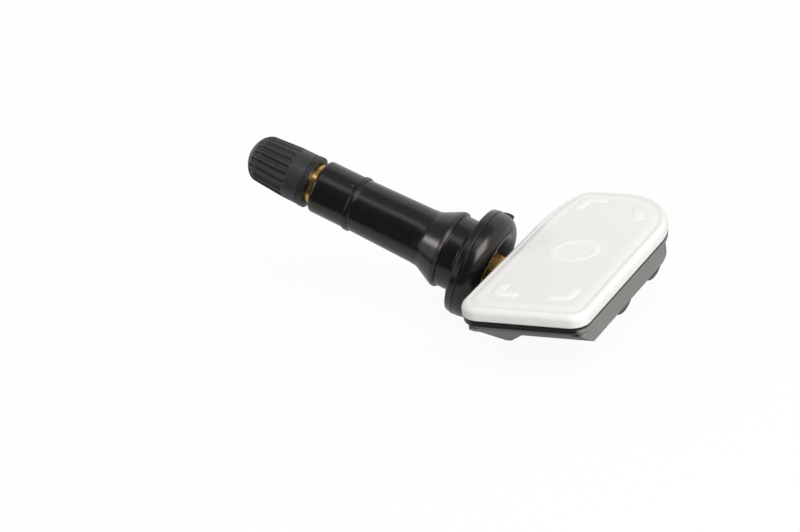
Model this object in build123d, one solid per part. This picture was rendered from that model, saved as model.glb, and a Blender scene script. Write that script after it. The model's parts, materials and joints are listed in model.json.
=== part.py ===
from build123d import *
import os
from math import atan2, cos, degrees, radians, sin, tan

# Tyre pressure sensor on a snap-in rubber valve, in millimetres.
# The origin is on the valve's axis, in the groove that grips the wheel rim.
# +Z is square to the lid, and +X runs from the valve towards the housing.
# Places along the valve are measured from the origin, positive towards the cap.

# Valve axis
stem_angle = 24.0

# Rubber body of the valve
groove_radius = 6.85
groove_top = 1.0
groove_width = 2.9
groove_round = 0.25
shoulder_radius = 7.25
shoulder_width = 0.9
shoulder_round = 0.5
flare_end = 5.6
flare_end_radius = 5.42
flare_round = 2.5
barrel_start = 7.2
barrel_start_radius = 5.27
barrel_end_radius = 4.98
barrel_round = 8.0
ridge_place = 20.1
ridge_width = 1.1
ridge_radius = 5.32
ridge_round = 0.25
neck_radius = 5.02
neck_end = 28.6
neck_round = 0.7
lip_foot_inset = 1.75
lip_foot_place = -2.3
lip_inset = 0.55
lip_place = -3.1
lip_round = 0.8
flange_radius = 10.25
flange_place = -4.15
seam_depth = 0.18
seam_width = 0.35
back_inset = 0.25
back_round = 2.8
base_place = -7.9
dish_radius = 4.7
dish_depth = 1.4
dish_round = 1.0

# Brass stem
thread_radius = 3.87
thread_pitch = 0.79375
mouth_place = 37.9
mouth_chamfer = 0.4
shank_radius = 2.9
collar_radius = 4.4
collar_place = -3.1
collar_width = 2.0
seat_ring_radius = 4.3
seat_ring_width = 0.6
hexagon_flats = 6.2
hexagon_length = 3.3
tail_radius = 3.2
tail_end = -13.4
tail_flats = 5.4
tail_flat_length = 1.8
core_bore_radius = 2.65
core_seat_height = 1.0
chamber_radius = 2.0
chamber_clearance = 0.9
passage_radius = 1.3
air_port_radius = 0.7
air_port_place = -9.0

# Cap
cap_gap = 1.2
cap_crown = 4.2
cap_radius = 4.87
cap_rim_radius = 4.95
cap_rim_height = 1.1
cap_taper_length = 5.1
dome_radius = 4.5
dome_height = 3.4
dome_round = 2.7
flute_count = 20
flute_width = 0.9
flute_depth = 0.35
flute_length = 8.6
flute_start = 1.3
thread_clearance = 0.05
cap_seal_thickness = 0.9
cap_seal_hole = 1.3
seat_gap = 0.05

# Valve core
plug_radius = 2.6
plug_length = 2.2
bridge_width = 1.7
bridge_height = 1.7
bridge_recess = 0.6
barrel_radius = 1.7
barrel_bore = 1.2
barrel_length = 6.4
barrel_lip = 0.6
barrel_lip_hole = 0.8
core_seat_drop = 1.4
gasket_land = 0.3
pin_radius = 0.6
pin_clearance = 0.06
pin_recess = 0.4
pin_collar_radius = 1.0
pin_collar_height = 0.5
pin_collar_drop = 2.4
pin_travel = 1.2
pin_tail = 0.3
cup_radius = 1.55
cup_wall = 0.18
cup_base = 0.9
cup_rim = 0.4
cup_seal_height = 0.65
spring_wire = 0.16
spring_wire_sides = 8
spring_radius = 0.94
spring_turns = 6

# Lid
lid_left = 11.3
lid_width = 24.1
lid_near = -25.6
lid_length = 52.1
lid_top = 2.0
lid_height = 2.5
lid_wall = 1.3
lid_roll = 1.1
near_left_round = 4.1
near_right_round = 2.9
far_right_x = 13.2
far_right_y = 15.8
far_left_x = 4.9
far_left_y = 16.1
border_inset = 1.5
border_width = 0.7
border_depth = 0.22
mark_side_inset = 5.35
mark_near_inset = 6.3
mark_far_inset = 7.2
mark_arm = 4.4
mark_width = 1.0
mark_height = 0.14
ring_radius = 4.53
ring_width = 0.55
gate_radius = 0.5

# Housing base
rim_inset = 0.1
rim_height = 0.6
wall_inset = 0.8
wall = 1.2
wall_drop = 1.7
end_slope = 33.0
floor_drop = 4.6
keel_setback = 1.0
keel_bottom = -11.3
keel_width = 1.0
keel_back_run = 7.0
foot_middle_y = 0.7
foot_offset = 7.15
foot_chord = 6.6
foot_drop = 0.8
foot_thickness = 1.4
boss_radius = 5.0
boss_face = -11.4
socket_clearance = 0.05
lug_thickness = 3.2
driver_channel_radius = 3.2
driver_roof_thickness = 1.0
driver_roof_length = 6.6
port_radius = 0.8
post_radius = 1.0
post_inset = 2.6
post_far_inset = 9.1

# Screw
screw_radius = 1.45
screw_thread_depth = 3.0
screw_hole_clearance = 0.2
screw_head_radius = 2.7
screw_head_height = 1.8
screw_head_edge = 0.7
screw_head_taper = 0.55
screw_recess_radius = 1.15
screw_recess_depth = 1.0

# Electronics
cell_radius = 8.0
cell_height = 3.2
cell_cover_height = 0.8
cell_rim = 0.5
cell_near_inset = 13.6
tab_thickness = 0.2
tab_width = 4.0
tab_side_inset = 4.0
tab_end_inset = 2.0
board_thickness = 0.7
board_clearance = 0.4
sensor_x = 0.2
sensor_far_inset = 14.5
sensor_size = 7.0
sensor_height = 2.0
port_seal_radius = 2.2
port_seal_hole = 1.2
coil_x = 6.4
coil_post_gap = 0.6
coil_width = 3.2
coil_length = 8.0
coil_height = 2.6
coil_end = 1.2
winding_inset = 0.4
crystal_x = -5.4
crystal_post_gap = 3.3
crystal_length = 3.2
crystal_width = 2.5
crystal_height = 0.8
crystal_round = 0.4
chip_count = 4
chip_length = 1.6
chip_width = 0.8
chip_height = 0.6
chip_pitch = 2.2
chip_far_inset = 7.5
antenna_strip = 0.4
antenna_height = 2.2
antenna_wall_gap = 1.65
antenna_roof_gap = 3.3
antenna_post_gap = 0.9

# Places that follow from the sizes above
valve_frame = Plane(
    origin=(0, 0, 0),
    x_dir=(sin(radians(stem_angle)), 0, cos(radians(stem_angle))),
    z_dir=(-cos(radians(stem_angle)), 0, sin(radians(stem_angle))),
)
lid_right = lid_left + lid_width
lid_far = lid_near + lid_length
lid_bottom = lid_top - lid_height
lid_middle = (lid_left + lid_right) / 2
dish_floor = base_place + dish_depth
cap_rim = neck_end + cap_gap
cap_bore_end = mouth_place + seat_gap + cap_seal_thickness + seat_gap
cap_tip = cap_bore_end + cap_crown
lug_back = tail_end - lug_thickness
floor_bottom = lid_bottom - floor_drop
floor_top = floor_bottom + wall
wall_left = lid_left + wall_inset
wall_right = lid_right - wall_inset
wall_near = lid_near + wall_inset
wall_far = lid_far - wall_inset
cell_bottom = floor_top + tab_thickness
cell_top = cell_bottom + cell_height
board_bottom = cell_top + tab_thickness
cell_y = lid_near + cell_near_inset
near_post_y = cell_y + cell_radius + post_inset
past_post = near_post_y + post_radius
far_post_y = lid_far - post_far_inset
sensor_y = lid_far - sensor_far_inset
driver_roof_radius = driver_channel_radius + driver_roof_thickness
antenna_near = driver_roof_radius + antenna_roof_gap
antenna_length = far_post_y - post_radius - antenna_post_gap - antenna_near
plug_top = mouth_place - bridge_recess
plug_bottom = plug_top - bridge_height - plug_length
core_seat_place = plug_bottom - core_seat_drop
pin_collar_place = plug_bottom - pin_collar_drop
barrel_bottom = plug_bottom - barrel_length
cup_seal_top = barrel_bottom - seat_gap
cup_floor = cup_seal_top - cup_seal_height
pin_end = cup_floor - cup_base - pin_tail
chamber_end = pin_end - pin_travel - chamber_clearance


def turned(*corners):
    """A solid turned about the valve's axis from (radius, place) corners; a third value rounds one."""
    points = [corner[:2] for corner in corners]
    rounds = [corner[2] if len(corner) > 2 else 0.0 for corner in corners]
    outline = FilletPolyline(*points, radius=rounds, close=True)
    return revolve(Plane.XZ * make_face(outline), Axis.Z)


def tube(outer, inner, low, high):
    """A plain round tube, or a rod where the inner radius is zero, along the valve's axis."""
    return turned((inner, low), (outer, low), (outer, high), (inner, high))


def on_valve(shape):
    """The shape moved from the valve's own frame, with its axis on Z, to its real place."""
    return valve_frame.location * shape


def plan(inset):
    """The lid's plan drawn in by an inset: square at the near end, oval at the far end."""
    left = lid_left + inset
    right = lid_right - inset
    near = lid_near + inset
    far = lid_far - inset
    left_round = near_left_round - inset
    right_round = near_right_round - inset
    right_x = far_right_x - inset
    right_y = far_right_y - inset
    left_x = far_left_x - inset
    left_y = far_left_y - inset
    quarter = 90
    edges = [
        CenterArc((left + left_round, near + left_round), left_round, 180, quarter),
        Line((left + left_round, near), (right - right_round, near)),
        CenterArc((right - right_round, near + right_round), right_round, 270, quarter),
        Line((right, near + right_round), (right, far - right_y)),
        EllipticalCenterArc((right - right_x, far - right_y), right_x, right_y, 0, arc_size=quarter),
        Line((right - right_x, far), (left + left_x, far)),
        EllipticalCenterArc((left + left_x, far - left_y), left_x, left_y, 90, arc_size=quarter),
        Line((left, far - left_y), (left, near + left_round)),
    ]
    return make_face(edges)


def prism(face, low, high):
    """A plan face raised into a solid between two heights."""
    return extrude(Pos(0, 0, low) * face, high - low)


def block(x, y, z, length, width, height):
    """A box standing on height z, with its middle at x, y."""
    return Pos(x, y, z + height / 2) * Box(length, width, height)


def end_profile(inset):
    """The housing seen along X: upright walls that turn into sloping ends, drawn in by an inset."""
    near = wall_near + inset
    far = wall_far - inset
    turn = lid_bottom - wall_drop + inset * tan(radians((90 - end_slope) / 2))
    run = (turn - keel_bottom) / tan(radians(end_slope))
    corners = [(near, lid_bottom), (near, turn), (near + run, keel_bottom)]
    corners += [(far - run, keel_bottom), (far, turn), (far, lid_bottom)]
    face = make_face(Polyline(*corners, close=True))
    return extrude(Plane.YZ * face, lid_right)


def side_profile():
    """The housing seen along Y: a shallow tray with a deep keel on the valve's side."""
    keel_left = wall_left + keel_setback
    keel_right = keel_left + keel_width
    corners = [(wall_left, lid_bottom), (wall_left, floor_bottom), (keel_left, floor_bottom)]
    corners += [(keel_left, keel_bottom), (keel_right, keel_bottom)]
    corners += [(keel_right + keel_back_run, floor_bottom), (wall_right, floor_bottom)]
    corners += [(wall_right, lid_bottom)]
    face = make_face(Polyline(*corners, close=True))
    return extrude(Plane.XZ * face, lid_length, both=True)


def make_valve_rubber(stem_blank):
    """The moulded rubber: neck, ridge, tapered barrel, flare, rim groove and round-backed flange."""
    groove_low = groove_top - groove_width
    ridge_end = ridge_place + ridge_width
    rubber = turned(
        (0, neck_end),
        (neck_radius, neck_end, neck_round),
        (neck_radius, ridge_end),
        (ridge_radius, ridge_end, ridge_round),
        (ridge_radius, ridge_place, ridge_round),
        (barrel_end_radius, ridge_place),
        (barrel_start_radius, barrel_start, barrel_round),
        (flare_end_radius, flare_end, flare_round),
        (shoulder_radius, groove_top + shoulder_width, shoulder_round),
        (shoulder_radius, groove_top),
        (groove_radius, groove_top, groove_round),
        (groove_radius, groove_low, groove_round),
        (flange_radius - lip_foot_inset, lip_foot_place, lip_round),
        (flange_radius - lip_inset, lip_place, lip_round),
        (flange_radius, flange_place),
        (flange_radius - seam_depth, flange_place - seam_width / 2),
        (flange_radius - seam_depth / 3, flange_place - seam_width),
        (flange_radius - back_inset, base_place, back_round),
        (dish_radius, base_place, dish_round),
        (dish_radius, dish_floor),
        (0, dish_floor),
    )
    return rubber - stem_blank


def make_stem_blank():
    """The brass stem's outside: threaded mouth, shank, collar, seat ring, hexagon and tail."""
    run_out = neck_end - thread_pitch / 2
    collar_top = collar_place + collar_width / 2
    ring_end = dish_floor - seat_ring_width
    blank = turned(
        (0, mouth_place),
        (thread_radius - mouth_chamfer, mouth_place),
        (thread_radius, mouth_place - mouth_chamfer),
        (thread_radius, run_out),
        (shank_radius, run_out),
        (shank_radius, collar_top),
        (collar_radius, collar_top),
        (collar_radius, collar_top - collar_width),
        (tail_radius, collar_top - collar_width),
        (tail_radius, dish_floor),
        (seat_ring_radius, dish_floor),
        (seat_ring_radius, ring_end),
        (tail_radius, ring_end),
        (tail_radius, tail_end),
        (0, tail_end),
    )
    hexagon = RegularPolygon(hexagon_flats / 2, 6, major_radius=False)
    blank += extrude(Pos(0, 0, ring_end) * hexagon, -hexagon_length)
    flat_cut = Box(tail_radius * 2, tail_radius, tail_flat_length)
    flat_at = tail_end + tail_flat_length / 2
    for side in (1, -1):
        blank -= Pos(0, side * (tail_flats + tail_radius) / 2, flat_at) * flat_cut
    return blank


def make_valve_stem(blank):
    """The stem with its core bore, seat, air passage, side port and screw hole."""
    bore = turned(
        (0, mouth_place),
        (core_bore_radius, mouth_place),
        (core_bore_radius, core_seat_place),
        (chamber_radius, core_seat_place - core_seat_height),
        (chamber_radius, chamber_end),
        (passage_radius, chamber_end),
        (passage_radius, air_port_place - air_port_radius),
        (0, air_port_place - air_port_radius),
    )
    side_port = Rot(90, 0, 0) * Cylinder(air_port_radius, 2 * hexagon_flats)
    screw_hole = tube(screw_radius, 0, tail_end, tail_end + screw_thread_depth)
    return blank - bore - Pos(0, 0, air_port_place) * side_port - screw_hole


def cap_profile(inset):
    """Half of the cap's outline, drawn in by an inset: plain wall, taper and a two-arc dome."""
    dome_middle = cap_tip - dome_height
    corner_x = dome_radius - dome_round
    crown_round = (corner_x**2 + dome_height**2 - dome_round**2) / (2 * (dome_height - dome_round))
    crown_drop = crown_round - dome_height
    turn = degrees(atan2(crown_drop, corner_x))
    wall_line = Polyline(
        (dome_radius - inset, dome_middle),
        (cap_radius - inset, dome_middle - cap_taper_length),
        (cap_radius - inset, cap_rim),
        (0, cap_rim),
        (0, cap_tip - inset),
    )
    corner = CenterArc((corner_x, dome_middle), dome_round - inset, 0, turn)
    crown = CenterArc((0, dome_middle - crown_drop), crown_round - inset, turn, 90 - turn)
    return Plane.XZ * make_face(wall_line.edges() + corner.edges() + crown.edges())


def make_valve_cap():
    """The cap: domed end, tapered wall with long flutes, plain rim band and a bore for the thread."""
    cap = revolve(cap_profile(0), Axis.Z)
    cap += tube(cap_rim_radius, 0, cap_rim, cap_rim + cap_rim_height)
    cap -= tube(thread_radius + thread_clearance, 0, cap_rim, cap_bore_end)
    slot_face = Plane.YZ * Rot(0, 0, 90) * SlotOverall(flute_length, flute_width)
    slot = Pos(0, 0, cap_tip - flute_start - flute_length / 2) * extrude(slot_face, 2 * cap_radius)
    flute = slot - revolve(cap_profile(flute_depth), Axis.Z)
    pitch = 360 / flute_count
    cap -= [Rot(0, 0, pitch * turn) * flute for turn in range(flute_count)]
    return cap


def make_cap_seal():
    """The washer between the cap's end and the stem's mouth."""
    low = mouth_place + seat_gap
    return tube(thread_radius - mouth_chamfer, cap_seal_hole, low, low + cap_seal_thickness)


def make_core_plug():
    """The core's threaded ring with the bridge that a core key turns."""
    ring_top = plug_top - bridge_height
    hole = pin_radius + pin_clearance
    plug = tube(plug_radius, hole, plug_bottom, ring_top)
    bridge = tube(plug_radius, hole, ring_top, plug_top)
    slab = Pos(0, 0, ring_top + bridge_height / 2) * Box(2 * plug_radius, bridge_width, bridge_height)
    air_slot = Pos(0, 0, plug_bottom + plug_length / 2)
    air_slot *= Box(bridge_width / 2, 2 * barrel_bore, 2 * plug_length)
    return plug + (bridge & slab) - air_slot


def make_core_barrel():
    """The core's barrel, open at the plug and lipped at the cup."""
    return turned(
        (barrel_lip_hole, barrel_bottom),
        (barrel_radius, barrel_bottom),
        (barrel_radius, plug_bottom),
        (barrel_bore, plug_bottom),
        (barrel_bore, barrel_bottom + barrel_lip),
        (barrel_lip_hole, barrel_bottom + barrel_lip),
    )


def make_barrel_gasket():
    """The tapered ring that seals the barrel against the stem's seat."""
    seat_low = core_seat_place - core_seat_height
    return turned(
        (barrel_radius, seat_low + seat_gap),
        (chamber_radius, seat_low + seat_gap),
        (core_bore_radius - seat_gap, core_seat_place),
        (core_bore_radius - seat_gap, core_seat_place + gasket_land),
        (barrel_radius, core_seat_place + gasket_land),
    )


def make_core_pin():
    """The pin that a gauge pushes, with the collar under which the spring pushes back."""
    collar_top = pin_collar_place + pin_collar_height
    return turned(
        (0, pin_end),
        (pin_radius, pin_end),
        (pin_radius, pin_collar_place),
        (pin_collar_radius, pin_collar_place),
        (pin_collar_radius, collar_top),
        (pin_radius, collar_top),
        (pin_radius, mouth_place - pin_recess),
        (0, mouth_place - pin_recess),
    )


def make_core_cup():
    """The cup on the pin's inner end that carries the valve's seal."""
    return turned(
        (pin_radius, cup_floor - cup_base),
        (cup_radius, cup_floor - cup_base),
        (cup_radius, cup_floor + cup_rim),
        (cup_radius - cup_wall, cup_floor + cup_rim),
        (cup_radius - cup_wall, cup_floor),
        (pin_radius, cup_floor),
    )


def make_cup_seal():
    """The rubber disc in the cup that closes on the barrel's end."""
    return tube(cup_radius - cup_wall, pin_radius, cup_floor, cup_seal_top)


def make_core_spring():
    """The coil spring between the barrel's lip and the pin's collar."""
    low = barrel_bottom + barrel_lip + spring_wire
    high = pin_collar_place - spring_wire
    coil = Helix((high - low) / spring_turns, high - low, spring_radius, center=(0, 0, low))
    wire = RegularPolygon(spring_wire, spring_wire_sides)
    section = Plane(origin=coil @ 0, z_dir=coil % 0) * wire
    return sweep(section, path=coil, is_frenet=True)


def make_stem_screw():
    """The screw through the housing's lug into the stem's tail."""
    head_low = lug_back - screw_head_height
    screw = turned(
        (0, head_low),
        (screw_head_radius - screw_head_taper, head_low),
        (screw_head_radius, lug_back - screw_head_edge),
        (screw_head_radius, lug_back),
        (screw_radius, lug_back),
        (screw_radius, tail_end + screw_thread_depth),
        (0, tail_end + screw_thread_depth),
    )
    recess = Pos(0, 0, head_low) * RegularPolygon(screw_recess_radius, 6)
    return screw - extrude(recess, screw_recess_depth)


def make_lug():
    """The solid boss round the stem's tail, with the roof over the screwdriver's channel behind it."""
    below_lid = block(lid_left, 0, keel_bottom, lid_right * 2, lid_far * 2, lid_bottom - keel_bottom)
    boss = on_valve(tube(boss_radius, 0, lug_back, boss_face)) & below_lid
    roof = on_valve(tube(driver_roof_radius, 0, lug_back - driver_roof_length, lug_back))
    return boss + (roof & prism(plan(wall_inset), floor_top, lid_bottom))


def make_socket():
    """What the stem's tail and screw take out of the lug: a round socket with flats, and a clear hole."""
    radius = tail_radius + socket_clearance
    flat_end = tail_end + tail_flat_length
    slab = Box(2 * boss_radius, tail_flats + 2 * socket_clearance, tail_flat_length)
    keyed = tube(radius, 0, tail_end, flat_end) & Pos(0, 0, tail_end + tail_flat_length / 2) * slab
    screw_hole = tube(screw_radius + screw_hole_clearance, 0, lug_back, tail_end)
    channel = tube(driver_channel_radius, 0, lug_back - lid_width, lug_back)
    return tube(radius, 0, flat_end, boss_face) + keyed + screw_hole + channel


def make_foot(y):
    """A rounded foot, part of a disc, under the wall on the side away from the valve."""
    radius = (foot_chord**2 / 4 + foot_drop**2) / (2 * foot_drop)
    low = floor_bottom - foot_drop
    disc = Rot(0, 90, 0) * Cylinder(radius, foot_thickness)
    disc = Pos(wall_right - foot_thickness / 2, y, low + radius) * disc
    return disc & block(wall_right, y, low, 2 * foot_thickness, foot_chord, foot_drop + wall)


def make_housing_base():
    """The black tray: sloping ends, keel and boss on the valve's side, feet on the far wall."""
    body = prism(plan(wall_inset), keel_bottom, lid_bottom) & end_profile(0) & side_profile()
    body += prism(plan(rim_inset), lid_bottom - rim_height, lid_bottom)
    cavity = prism(plan(wall_inset + wall), floor_top, lid_bottom) & end_profile(wall)
    body = body - cavity + make_lug()

    post_height = board_bottom - floor_top
    post_reach = lid_middle - wall_left - wall - post_inset
    for side in (1, -1):
        body += make_foot(foot_middle_y + side * foot_offset)
        for y in (near_post_y, far_post_y):
            post = Cylinder(post_radius, post_height)
            body += Pos(lid_middle + side * post_reach, y, floor_top + post_height / 2) * post

    port = Pos(lid_middle + sensor_x, sensor_y, floor_bottom) * Cylinder(port_radius, 2 * wall + port_radius)
    return body - on_valve(make_socket()) - port


def make_corner_mark(side, end):
    """A raised angle mark near one corner of the lid: side 1 is right, and end 1 is far."""
    x = lid_middle + side * (lid_width / 2 - mark_side_inset)
    y = lid_far - mark_far_inset if end > 0 else lid_near + mark_near_inset
    arm = mark_arm + mark_width
    along = Pos(x - side * mark_arm / 2, y) * Rectangle(arm, mark_width)
    across = Pos(x, y - end * mark_arm / 2) * Rectangle(mark_width, arm)
    return prism(along + across, lid_top, lid_top + mark_height)


def make_housing_lid():
    """The white lid: rolled edge, border groove, four corner marks and a centre ring."""
    lid = prism(plan(0), lid_bottom, lid_top)
    lid = fillet(lid.faces().sort_by(Axis.Z)[-1].edges(), lid_roll)
    lid -= prism(plan(wall_inset + wall), lid_bottom, lid_top - lid_wall)
    border = plan(border_inset) - plan(border_inset + border_width)
    lid -= prism(border, lid_top - border_depth, lid_top)
    for side in (1, -1):
        for end in (1, -1):
            lid += make_corner_mark(side, end)
    ring = Circle(ring_radius) - Circle(ring_radius - ring_width) + Circle(gate_radius)
    return lid + prism(Pos(lid_middle, 0) * ring, lid_top, lid_top + mark_height)


def make_circuit_board():
    """The board under the lid, with the lid's plan."""
    return prism(plan(wall_inset + wall + board_clearance), board_bottom, board_bottom + board_thickness)


def make_coin_cell():
    """The coin cell: a can with its narrower cover on top."""
    can_height = cell_height - cell_cover_height
    cell = Pos(0, 0, can_height / 2) * Cylinder(cell_radius, can_height)
    cover = Cylinder(cell_radius - cell_rim, cell_cover_height)
    cell += Pos(0, 0, can_height + cell_cover_height / 2) * cover
    return Pos(lid_middle, cell_y, cell_bottom) * cell


def make_cell_tab(height, side):
    """A welded strip on one face of the cell, turned towards the board's middle."""
    x = lid_middle + side * (cell_radius - tab_side_inset)
    reach = cell_radius - tab_end_inset
    return block(x, cell_y + reach / 2, height, tab_width, reach, tab_thickness)


def make_pressure_sensor():
    """The sensing module under the board, over the air port."""
    low = board_bottom - sensor_height
    body = block(lid_middle + sensor_x, sensor_y, low, sensor_size, sensor_size, sensor_height)
    return body - Pos(lid_middle + sensor_x, sensor_y, low) * Cylinder(port_radius, sensor_height)


def make_port_seal():
    """The ring that leads the port's air to the sensing module."""
    height = board_bottom - sensor_height - floor_top
    ring = Cylinder(port_seal_radius, height) - Cylinder(port_seal_hole, height)
    return Pos(lid_middle + sensor_x, sensor_y, floor_top + height / 2) * ring


def make_trigger_coil():
    """The low-frequency coil: a winding between the two square ends of its core."""
    x = lid_middle + coil_x
    y = past_post + coil_post_gap + coil_length / 2
    low = board_bottom - coil_height
    winding_width = coil_width - 2 * winding_inset
    coil = block(x, y, low + winding_inset, winding_width, coil_length, coil_height - 2 * winding_inset)
    for end in (1, -1):
        end_y = y + end * (coil_length - coil_end) / 2
        coil += block(x, end_y, low, coil_width, coil_end, coil_height)
    return coil


def make_crystal():
    """The frequency reference in its flat can."""
    x = lid_middle + crystal_x
    y = past_post + crystal_post_gap + crystal_length / 2
    can = block(x, y, board_bottom - crystal_height, crystal_width, crystal_length, crystal_height)
    return fillet(can.edges().filter_by(Axis.Z), crystal_round)


def make_chip_parts():
    """A row of small parts soldered under the board."""
    first_x = lid_middle - (chip_count - 1) / 2 * chip_pitch
    low = board_bottom - chip_height
    y = lid_far - chip_far_inset
    row = [
        block(first_x + place * chip_pitch, y, low, chip_width, chip_length, chip_height)
        for place in range(chip_count)
    ]
    return Compound(children=row)


def make_radio_antenna():
    """The antenna: a bent strip on two legs under the board."""
    frame_outside = Rectangle(antenna_length, antenna_height)
    frame_inside = Rectangle(antenna_length - 2 * antenna_strip, antenna_height - antenna_strip)
    frame = frame_outside - Pos(0, antenna_strip / 2) * frame_inside
    strip = extrude(Plane.YZ * frame, antenna_strip / 2, both=True)
    x = wall_left + wall + antenna_wall_gap
    return Pos(x, antenna_near + antenna_length / 2, board_bottom - antenna_height / 2) * strip


def make_potting(pieces):
    """The sealing compound that fills the tray under the board, around the pieces given."""
    fill = prism(plan(wall_inset + wall), floor_top, board_bottom) & end_profile(wall)
    depth = board_bottom - floor_top
    middle = floor_top + depth / 2
    fill -= Pos(lid_middle, cell_y, middle) * Cylinder(cell_radius, depth)
    fill -= Pos(lid_middle + sensor_x, sensor_y, middle) * Cylinder(port_seal_radius, depth)
    for piece in [make_lug(), *pieces]:
        fill -= piece
    return fill


stem_blank = make_stem_blank()
sub_parts = {
    "valve_cap": on_valve(make_valve_cap()),
    "cap_seal": on_valve(make_cap_seal()),
    "valve_stem": on_valve(make_valve_stem(stem_blank)),
    "valve_rubber": on_valve(make_valve_rubber(stem_blank)),
    "core_plug": on_valve(make_core_plug()),
    "core_barrel": on_valve(make_core_barrel()),
    "barrel_gasket": on_valve(make_barrel_gasket()),
    "core_pin": on_valve(make_core_pin()),
    "core_spring": on_valve(make_core_spring()),
    "core_cup": on_valve(make_core_cup()),
    "cup_seal": on_valve(make_cup_seal()),
    "stem_screw": on_valve(make_stem_screw()),
    "housing_base": make_housing_base(),
    "housing_lid": make_housing_lid(),
    "circuit_board": make_circuit_board(),
    "coin_cell": make_coin_cell(),
    "cell_top_tab": make_cell_tab(cell_top, 1),
    "cell_bottom_tab": make_cell_tab(floor_top, -1),
    "pressure_sensor": make_pressure_sensor(),
    "port_seal": make_port_seal(),
    "trigger_coil": make_trigger_coil(),
    "crystal": make_crystal(),
    "chip_parts": make_chip_parts(),
    "radio_antenna": make_radio_antenna(),
}

potted = ("housing_base", "cell_top_tab", "cell_bottom_tab", "pressure_sensor", "port_seal")
potted += ("trigger_coil", "crystal", "chip_parts", "radio_antenna")
sub_parts["potting"] = make_potting([sub_parts[node] for node in potted])

os.makedirs("parts", exist_ok=True)
for node, shape in sub_parts.items():
    export_step(shape, f"parts/{node}.step")
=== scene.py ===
import json
import math

import bmesh
import bpy
import numpy as np
from mathutils import Matrix, Vector


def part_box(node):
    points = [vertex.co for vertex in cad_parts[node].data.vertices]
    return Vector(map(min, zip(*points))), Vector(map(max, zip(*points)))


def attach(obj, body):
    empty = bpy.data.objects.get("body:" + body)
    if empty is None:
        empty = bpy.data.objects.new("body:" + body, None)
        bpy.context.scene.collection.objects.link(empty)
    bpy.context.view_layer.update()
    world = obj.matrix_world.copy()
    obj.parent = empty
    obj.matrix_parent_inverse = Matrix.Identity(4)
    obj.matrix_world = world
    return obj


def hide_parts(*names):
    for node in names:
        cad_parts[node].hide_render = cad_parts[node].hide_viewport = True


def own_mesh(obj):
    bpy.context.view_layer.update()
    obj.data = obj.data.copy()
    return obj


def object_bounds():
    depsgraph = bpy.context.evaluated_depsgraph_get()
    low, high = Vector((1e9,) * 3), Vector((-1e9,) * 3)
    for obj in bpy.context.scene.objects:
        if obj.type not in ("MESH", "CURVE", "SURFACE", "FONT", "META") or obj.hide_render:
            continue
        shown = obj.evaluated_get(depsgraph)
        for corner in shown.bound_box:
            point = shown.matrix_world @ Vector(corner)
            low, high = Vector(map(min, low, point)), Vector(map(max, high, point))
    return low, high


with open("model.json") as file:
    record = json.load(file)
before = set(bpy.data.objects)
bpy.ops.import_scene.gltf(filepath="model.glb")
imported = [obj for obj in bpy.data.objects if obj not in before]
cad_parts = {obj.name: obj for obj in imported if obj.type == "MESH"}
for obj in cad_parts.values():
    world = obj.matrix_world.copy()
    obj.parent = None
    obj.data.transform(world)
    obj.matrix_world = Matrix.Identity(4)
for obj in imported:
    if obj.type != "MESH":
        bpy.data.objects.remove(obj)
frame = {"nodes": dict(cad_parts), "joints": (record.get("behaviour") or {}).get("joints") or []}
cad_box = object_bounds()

bl_info = {
    "name": "Tyre pressure sensor",
    "version": (1, 0, 0),
    "blender": (4, 5, 0),
    "location": "3D View > Sidebar > Sensor",
    "description": "Builds the outer pieces, finishes and studio of a snap-in tyre pressure sensor",
    "category": "Object",
}

MM = 0.001
TURN = 2 * math.pi
WHITE = (1, 1, 1, 1)

# Fineness: the longest step along a profile, columns round the valve, points on an arc, rows and columns
# of the smaller grids (the coil's rows are for one turn), merging distances and angles of sharp edges.
RUBBER_STEP, CAP_STEP, STEM_STEP, THREAD_STEP = 0.4 * MM, 0.11 * MM, 0.15 * MM, 0.055 * MM
RUBBER_COLUMNS, CAP_COLUMNS, STEM_COLUMNS, BEAD_COLUMNS = 240, 240, 144, 15
ROUND_POINTS, DOME_POINTS, ROLL_POINTS, CORNER_POINTS = 11, 24, 12, 40
PIP_GRID, FLAP_GRID, DISC_GRID, COIL_GRID = (16, 24), (31, 16), (41, 96), (36, 12)
MERGE, TRAY_MERGE = 0.0005 * MM, 0.001 * MM
CREASE, CAP_CREASE, TRAY_CREASE = math.radians(38), math.radians(60), math.radians(30)

# A thread's triangle wave is stretched and lowered by these before its crest and root are cut flat.
THREAD_STRETCH, THREAD_DROP = 1.35, 0.12

# The flap: its height at the start as a share of the tip's, and the share of its length that closes an end.
FLAP_START, FLAP_CLOSE = 0.15, 0.05

# The lid: the share of an inset that its near corners lose from their round, and how far out its flat
# rings lie under its ceiling and on its field.
CORNER_LOSS = 0.35
CEILING_RINGS, FIELD_RINGS = (0.0, 0.5, 1.0), (0.9, 0.5, 0.0)

# A raised bead: how blunt it is, how deep its sides and base are sunk, and where the base ends.
BEAD_BLUNT, BEAD_SUNK, BEAD_BASE, BEAD_BASE_EDGE = 2, 0.15, 0.5, 0.9

# The slanting mark's ends, back from its corner across and along the lid, in arms of the other marks.
BAR_START, BAR_END = (0.0, 1.8), (0.6, 0.65)

# Heights on the lid's disc, as shares of the marks' height.
RING_RISE, GATE_RISE, DISC_RISE, DISC_SUNK = 0.75, 0.3, 0.15, 0.08

# Section of the band under the lid: inset from the lid's edge and drop from its foot, in millimetres.
BAND_SECTION = ((0.12, 0), (0.15, 1.0), (0.78, 1.7), (1.4, 1.7), (1.4, 0))

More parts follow.
